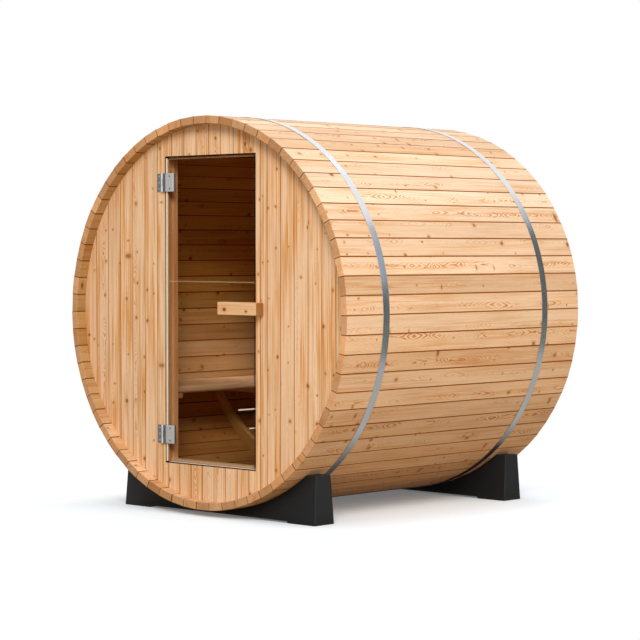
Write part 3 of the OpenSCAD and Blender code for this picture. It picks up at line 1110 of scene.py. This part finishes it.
SCREW_HIGH, SCREW_SIDES = 0.0016, 24
CROSS_REACH, CROSS_HALF, CROSS_FLOOR, CROSS_TOP = 0.55, 0.0006, 0.0008, 0.003


def screw_head(x, face_y, z, radius, finish):
    """A low domed head with a cross slot, on a face that looks to the front."""
    head = rod("screw", (x, face_y, z), (x, face_y - SCREW_HIGH, z), radius, SCREW_SIDES)
    ease_all(head, STEEL_EASE)
    reach = radius * CROSS_REACH
    for wide, tall in ((reach, CROSS_HALF), (CROSS_HALF, reach)):
        cutter = block(
            "cross", (x - wide, face_y - CROSS_TOP, z - tall), (x + wide, face_y - CROSS_FLOOR, z + tall))
        carve(head, cutter)
    paint(head, finish)
    return head


def on_pin(name, foot, top, radius, sides=32):
    """A round bar on the hinge's axis."""
    return rod(name, (PIN_X, PIN_Y, foot), (PIN_X, PIN_Y, top), radius, sides)


def knuckle_tall(low, high):
    """The height of one of a hinge's three knuckles."""
    return (high.z - low.z - 2 * KNUCKLE_PLAY) / 3


def make_hinge_leaf(node, steel, knuckle_steel, screw_steel):
    """The leaf on the wall: plate, two knuckles with webs, pin and three screws."""
    low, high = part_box(node)
    middle = (low.z + high.z) / 2
    third = knuckle_tall(low, high)
    plate_y = WALL_FRONT - PLATE_THICK
    plate = block("plate", (PLATE_OUTER_X, plate_y, low.z), (PLATE_INNER_X, WALL_FRONT, high.z))

    def outer_corner(edge):
        return runs_along(Y_AXIS)(edge) and edge.verts[0].co.x < PLATE_OUTER_X + CORNER_REACH

    ease(plate, PLATE_CORNER, outer_corner, segments=4)
    ease_all(plate, STEEL_EASE)
    parts = [plate]
    for foot, top in ((low.z, low.z + third), (high.z - third, high.z)):
        knuckle = on_pin("knuckle", foot, top, KNUCKLE_RADIUS)
        ease_all(knuckle, STEEL_EASE)
        web = block(
            "web", (PLATE_INNER_X - LEAF_WEB_LAP, PIN_Y - LEAF_WEB_LAP, foot), (PIN_X, WALL_FRONT, top))
        ease_all(web, LEAF_WEB_EASE)
        parts += [knuckle, web]
    parts.append(on_pin("pin", low.z, high.z, PIN_RADIUS, PIN_SIDES))
    for part in parts:
        paint(part, steel if part == plate else knuckle_steel)
    for drop in LEAF_SCREWS:
        parts.append(screw_head(LEAF_SCREW_X, plate_y, middle + drop, LEAF_SCREW_RADIUS, screw_steel))
    hand_in(join_up(node.replace("hinge_leaf", "leaf"), parts), "barrel", node)


def make_hinge_clamp(node, steel, screw_and_shade_steel, screw_steel):
    """The clamp on the glass: outer and inner plate, web, arm, middle knuckle and two screws."""
    low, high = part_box(node)
    glass_low, glass_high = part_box("door_glass")
    middle = (low.z + high.z) / 2
    third = knuckle_tall(low, high)
    foot = middle - third / 2
    top = middle + third / 2
    outer = block("outer plate", (CLAMP_LEFT_X, PIN_Y, low.z), (CLAMP_RIGHT_X, glass_low.y, high.z))
    ease(outer, PLATE_CORNER, runs_along(Y_AXIS), segments=4)
    ease_all(outer, CLAMP_EASE, segments=3)
    inner = block("inner plate", (BACK_PLATE_LEFT_X, glass_high.y, low.z), (high.x, high.y, high.z))
    ease(inner, BACK_PLATE_CORNER, runs_along(Y_AXIS), segments=4)
    ease_all(inner, BACK_PLATE_EASE)
    web = block(
        "web", (PIN_X + CLAMP_WEB_CLEAR, PIN_Y - CLAMP_WEB_HALF, low.z),
        (CLAMP_LEFT_X + CLAMP_WEB_LAP, PIN_Y + CLAMP_WEB_HALF, high.z))
    ease_all(web, STEEL_EASE)
    arm = block("arm", (PIN_X, PIN_Y - ARM_HALF, foot), (CLAMP_LEFT_X, PIN_Y + ARM_HALF, top))
    ease_all(arm, ARM_EASE)
    knuckle = on_pin("knuckle", foot, top, KNUCKLE_RADIUS)
    for part in (arm, knuckle):
        carve(part, on_pin("bore", low.z, high.z, PIN_RADIUS + BORE_PLAY, PIN_SIDES))
    parts = [outer, inner, web, arm, knuckle]
    for part in parts:
        # The inner plate, web and arm are painted dark: painted shade
        paint(part, screw_and_shade_steel if part in (inner, web, arm) else steel)
    for drop in CLAMP_SCREWS:
        parts.append(screw_head(CLAMP_SCREW_X, PIN_Y, middle + drop, CLAMP_SCREW_RADIUS, screw_steel))
    hand_in(join_up(node.replace("hinge_clamp", "clamp"), parts), "door", node)


# Hoops

HOOP_EASE = 0.0004
HOOP_STEPS = 264
HOOP_MERGE = 0.00002


def make_hoop(node, finish):
    """A steel band, spun round the barrel from its own cross-section."""
    low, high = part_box(node)
    outer = (high.z - low.z) / 2
    inner = BARREL_RADIUS + HOOP_PLAY
    middle = ((outer + inner) / 2, (low.y + high.y) / 2, AXIS_Z)
    band = sheet(node + "_band", middle, (outer - inner, high.y - low.y))
    pick(band, "edges", every)
    bpy.ops.mesh.bevel(offset=HOOP_EASE, segments=2, affect="VERTICES")
    bpy.ops.mesh.select_all(action="SELECT")
    bpy.ops.mesh.delete(type="ONLY_FACE")
    bpy.ops.mesh.select_all(action="SELECT")
    bpy.ops.mesh.spin(steps=HOOP_STEPS, angle=math.tau, center=(0, 0, AXIS_Z), axis=(0, 1, 0))
    bpy.ops.mesh.select_all(action="SELECT")
    bpy.ops.mesh.remove_doubles(threshold=HOOP_MERGE)
    bpy.ops.mesh.normals_make_consistent(inside=False)
    let_go()
    paint(band, finish)
    hand_in(band, "barrel", node, HOOP_SMOOTH)


# Cradles

CRADLE_SHOULDER = 0.245
CRADLE_TOP_WIDE = 0.106
CRADLE_TOP_LONG = 1.370
CRADLE_FOOT_LONG = 0.190
CRADLE_HOLLOW = 0.009
CRADLE_ROUND = 0.008


def make_cradle(node, finish):
    """A tapered black block with a round saddle, rounded edges and a hollow between its feet."""
    low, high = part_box(node)
    middle = (low + high) / 2
    cradle = block(node + "_block", (low.x, low.y, 0), (high.x, high.y, CRADLE_SHOULDER))
    factors = (CRADLE_TOP_LONG / (high.x - low.x), CRADLE_TOP_WIDE / (high.y - low.y), 1)
    scale_faces(cradle, looks(Z_AXIS, 1), factors, (middle.x, middle.y, CRADLE_SHOULDER))
    before = low.y - LONG_CUT_PAST
    behind = high.y + LONG_CUT_PAST
    saddle_radius = BARREL_RADIUS + HOOP_PLAY
    carve(cradle, rod("saddle", (0, before, AXIS_Z), (0, behind, AXIS_Z), saddle_radius, FINE_ROUND))
    hollow = block(
        "hollow", (low.x + CRADLE_FOOT_LONG, before, -LONG_CUT_PAST),
        (high.x - CRADLE_FOOT_LONG, behind, CRADLE_HOLLOW))
    carve(cradle, hollow)
    ease_all(cradle, CRADLE_ROUND, segments=3, angle=40)
    paint(cradle, finish)
    hand_in(cradle, "barrel", node, CRADLE_SMOOTH)


# Bench

SEAT_BOARDS = 4
SEAT_BOARD_WIDE = 0.090
SEAT_EASE, SEAT_FRONT_EASE = 0.006, 0.018
BATTEN_WIDE, BATTEN_EASE = 0.060, 0.003
BATTEN_PLACES = (-0.634, 0.0, 0.634)
RIB_INNER_RADIUS = 0.888
RIB_INNER_X = -0.078
RIB_INNER_RISE = 0.045
RIB_EASE, RIB_EASE_ANGLE = 0.004, 50
RIB_SLOPE = math.radians(45)


def make_bench(finish):
    """Seat boards, the battens under them and the curved rib at mid length."""
    low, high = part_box("bench_seat")
    step = (high.x - low.x - SEAT_BOARD_WIDE) / (SEAT_BOARDS - 1)
    boards = []
    for index in range(SEAT_BOARDS):
        left = low.x + index * step
        board = block("seat board", (left, low.y, low.z), (left + SEAT_BOARD_WIDE, high.y, high.z))
        edge = SEAT_FRONT_EASE if index == SEAT_BOARDS - 1 else SEAT_EASE
        ease(board, edge, runs_along(Y_AXIS), segments=5)
        as_board(board, finish, "Y", (left + SEAT_BOARD_WIDE / 2, 0, high.z))
        boards.append(board)
    hand_in(join_up("seat_boards", boards), "barrel", "bench_seat")

    low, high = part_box("bench_battens")
    battens = []
    for place in BATTEN_PLACES:
        batten = block(
            "batten", (low.x, place - BATTEN_WIDE / 2, low.z), (high.x, place + BATTEN_WIDE / 2, high.z))
        ease_all(batten, BATTEN_EASE)
        as_board(batten, finish, "X", ((low.x + high.x) / 2, place, high.z))
        battens.append(batten)
    hand_in(join_up("seat_battens", battens), "barrel", "bench_battens")

    low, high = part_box("bench_rib")
    _, inner = stave_flats()
    rib = rod("seat_rib", (0, low.y, AXIS_Z), (0, high.y, AXIS_Z), inner - WALL_PLAY, FINE_ROUND)
    hollow_z = AXIS_Z + RIB_INNER_RISE
    hollow = rod(
        "rib hollow", (RIB_INNER_X, low.y - LONG_CUT_PAST, hollow_z),
        (RIB_INNER_X, high.y + LONG_CUT_PAST, hollow_z), RIB_INNER_RADIUS, FINE_ROUND)
    carve(rib, hollow)
    saw(rib, (0, 0, high.z), (0, 0, 1), drop_far=True)
    saw(rib, (high.x, 0, 0), (1, 0, 0), drop_far=True)
    ease_all(rib, RIB_EASE, angle=RIB_EASE_ANGLE)
    paint(rib, finish)
    slope = Matrix.Rotation(RIB_SLOPE, 4, "Y")
    to_board = lying("Z", (0, 0, 0)) @ slope @ Matrix.Translation(-(low + high) / 2)
    # The whole rib takes the painted light and shade of inside faces
    mark_grain(rib, Board(), to_board, inside=every)
    hand_in(rib, "barrel", "bench_rib")


# Studio

def set_camera():
    """The camera at the photograph's viewing angle."""
    let_go()
    bpy.ops.object.camera_add(
        location=CAMERA_PLACE, rotation=(math.pi / 2 - CAMERA_DIP, 0, CAMERA_TURN))
    camera = bpy.context.object
    camera.data.sensor_width = CAMERA_SENSOR
    camera.data.lens = CAMERA_LENS
    camera.data.clip_end = CAMERA_REACH
    bpy.context.scene.camera = camera


def seen(n):
    """One for rays that show the background, direct or in metal and glass."""
    path = n.add("ShaderNodeLightPath", out="Is Camera Ray")
    rays = path + path.output("Is Glossy Ray") + path.output("Is Transmission Ray")
    return rays.math("MINIMUM", 1.0)


FLOOR_WIDE, FLOOR_DROP = 120, 0.0004
FLOOR_NEAR, FLOOR_FAR = 1.7, 3.4
WHITE_FROM_LEFT, WHITE_FROM_BACK = (-0.75, -1.15), (1.0, 1.5)
FLOOR_SEEN = (1.07, 1.14, 1.19, 1)
FLOOR_BOUNCE = (0.47, 0.355, 0.215, 1)
FLOOR_LIFT = 0.14


def make_floor():
    """A pale floor that keeps the shadow near the barrel and turns plain white farther off."""
    floor = sheet("studio_floor", (0, 0, -FLOOR_DROP), (FLOOR_WIDE, FLOOR_WIDE))
    material, n = new_finish("studio floor")
    x, y, _ = n.split(n.place())
    far = n.fade((x ** 2 + y ** 2) ** 0.5, FLOOR_NEAR, FLOOR_FAR)
    far = far.math("MAXIMUM", n.fade(x, *WHITE_FROM_LEFT))
    far = far.math("MAXIMUM", n.fade(y, *WHITE_FROM_BACK))
    camera_ray = n.add("ShaderNodeLightPath", out="Is Camera Ray")
    pale = n.add("ShaderNodeBsdfDiffuse", None, {"Color": FLOOR_SEEN})
    warm = n.add("ShaderNodeBsdfDiffuse", None, {"Color": FLOOR_BOUNCE})
    ground = n.blend(camera_ray, warm, pale)
    white = n.add("ShaderNodeEmission", None, {"Color": (1, 1, 1, 1), "Strength": 1.0})
    lifted = (far * (1 - FLOOR_LIFT) + FLOOR_LIFT) * seen(n)
    n.surface(n.blend(lifted, ground, white))
    paint(floor, material)


def make_card(name, place, turn, size, first, last=None, fade=(0, 1), axis=Z_AXIS):
    """A card that shows only in reflections, in one colour or from a first to a last along an axis."""
    card = sheet(name, place, size, turn)
    material, n = new_finish(name)
    along = n.split(n.place())[axis]
    cloth = n.mix(n.fade(along, *fade), first, last or first)
    n.surface(n.add("ShaderNodeEmission", None, {"Color": cloth, "Strength": 1.0}))
    paint(card, material)
    for rays in ("camera", "diffuse", "shadow", "transmission"):
        setattr(card, "visible_" + rays, False)


def make_lamp(name, place, target, size, power, colour, spread=180):
    """A soft square lamp."""
    let_go()
    aim = (Vector(target) - Vector(place)).to_track_quat("-Z", "Y").to_euler()
    bpy.ops.object.light_add(type="AREA", location=place, rotation=aim)
    lamp = bpy.context.object
    lamp.name = name
    lamp.data.shape = "SQUARE"
    lamp.data.size = size
    lamp.data.energy = power
    lamp.data.color = colour
    lamp.data.spread = math.radians(spread)
    lamp.visible_camera = False


SKY_LIGHT = 0.52


def make_sky():
    """A white background, with softer light on the object."""
    world = bpy.data.worlds.new("studio")
    bpy.context.scene.world = world
    world.use_nodes = True
    n = Nodes(world.node_tree)
    soft = n.add("ShaderNodeBackground", None, {"Color": (0.97, 0.99, 1.0, 1), "Strength": SKY_LIGHT})
    white = n.add("ShaderNodeBackground", None, {"Color": (1, 1, 1, 1), "Strength": 1.0})
    both = n.blend(seen(n), soft, white)
    n.surface(both, "ShaderNodeOutputWorld")


LAMP_WHITE = (1.0, 0.985, 0.96)
LAMP_COOL = (0.82, 1.0, 1.22)
LAMP_WARM = (1.0, 0.98, 0.95)
NEAR_FLOOR_GREY = (0.43, 0.425, 0.40)
FAR_FLOOR_GREY = (0.15, 0.17, 0.15)
SHADOW_GREY, FLOOR_GREY = (0.05, 0.05, 0.05), (0.46, 0.455, 0.43)
FAR_LOW_GREY, FAR_HIGH_GREY = (0.10, 0.115, 0.10), (0.38, 0.44, 0.52)
SIDE_GREY = (0.11, 0.115, 0.105)
DOOR_BLACK = (0.007, 0.007, 0.006)


def make_studio():
    """Floor, sky, lamps, and the cards that shape what the hoops and the door reflect."""
    make_floor()
    make_sky()
    make_lamp("key lamp", (8.84, -9.56, 8.77), (0, -0.2, 1.1), 5.5, 1430, LAMP_WHITE)
    make_lamp("side lamp", (7.2, 0.5, 2.2), (0.4, 0, 1.0), 3.0, 56, LAMP_WHITE)
    make_lamp("overhead lamp", (0.6, 0.4, 6.8), (0.2, 0, 1.2), 5.0, 145, LAMP_COOL)
    make_lamp("inside lamp", (0.30, 0.10, 1.80), (-0.85, 0.10, 0.62), 0.4, 0.8, LAMP_WARM, 36)
    upright = math.pi / 2
    flat = (0, 0, 0)
    make_card("door card", (-0.70, -1.52, 1.1), (upright, 0, -CAMERA_TURN), (0.9, 2.2), DOOR_BLACK)
    make_card(
        "far hoop card", (10.5, 10.0, 4.25), (upright, 0, 0), (17.0, 8.5),
        FAR_LOW_GREY, FAR_HIGH_GREY, (2.9, 4.7))
    make_card("side hoop card", (2.5, 4.95, 2.25), (upright, 0, upright), (6.1, 2.7), SIDE_GREY)
    make_card("near floor card", (1.7, 0, 0.02), flat, (1.4, 6.0), NEAR_FLOOR_GREY)
    make_card(
        "under floor card", (0.2, 0, 0.02), flat, (1.6, 6.0),
        SHADOW_GREY, FLOOR_GREY, (0.52, 1.0), X_AXIS)
    make_card(
        "far floor card", (8.75, 5.0, 0.02), flat, (12.7, 10.0),
        NEAR_FLOOR_GREY, FAR_FLOOR_GREY, (0.9, 1.5), Y_AXIS)


bpy.context.scene.view_settings.view_transform = "Standard"
set_camera()
make_studio()
woods = make_woods()
# The wall leaf's steel is a darker copy of the clamp's: painted shade
shaded_leaf_steel = brushed_metal("leaf steel", (0.23, 0.250, 0.275), (0.33, 0.350, 0.375), 0.42)
clamp_steel = brushed_metal("clamp steel", (0.64, 0.65, 0.66), (0.80, 0.81, 0.82), 0.45)
pale_screw = brushed_metal("pale screw steel", (0.60, 0.61, 0.63), (0.72, 0.73, 0.75), 0.40)
# Dark steel for the clamp's screws, and as painted shade on its inner plate, web and arm
screw_and_shade_steel = brushed_metal("dark screw steel and painted shade", (0.16, 0.16, 0.17), (0.28, 0.28, 0.29), 0.35)
hoop_steel = hoop_metal()
black = cradle_black()
make_staves(woods["stave"])
make_front_wall(woods["wall"])
make_rear_wall(woods["wall"])
make_door_frame(woods["frame"], woods["sill"])
make_gasket(gasket_black())
make_glass(bronze_glass())
make_seal(pale_seal())
make_handle(woods["handle"])
for side in ("upper", "lower"):
    make_hinge_leaf(side + "_hinge_leaf", shaded_leaf_steel, clamp_steel, pale_screw)
    make_hinge_clamp(side + "_hinge_clamp", clamp_steel, screw_and_shade_steel, screw_and_shade_steel)
for end in ("front", "rear"):
    make_hoop(end + "_hoop", hoop_steel)
    make_cradle(end + "_cradle", black)
make_bench(woods["bench"])
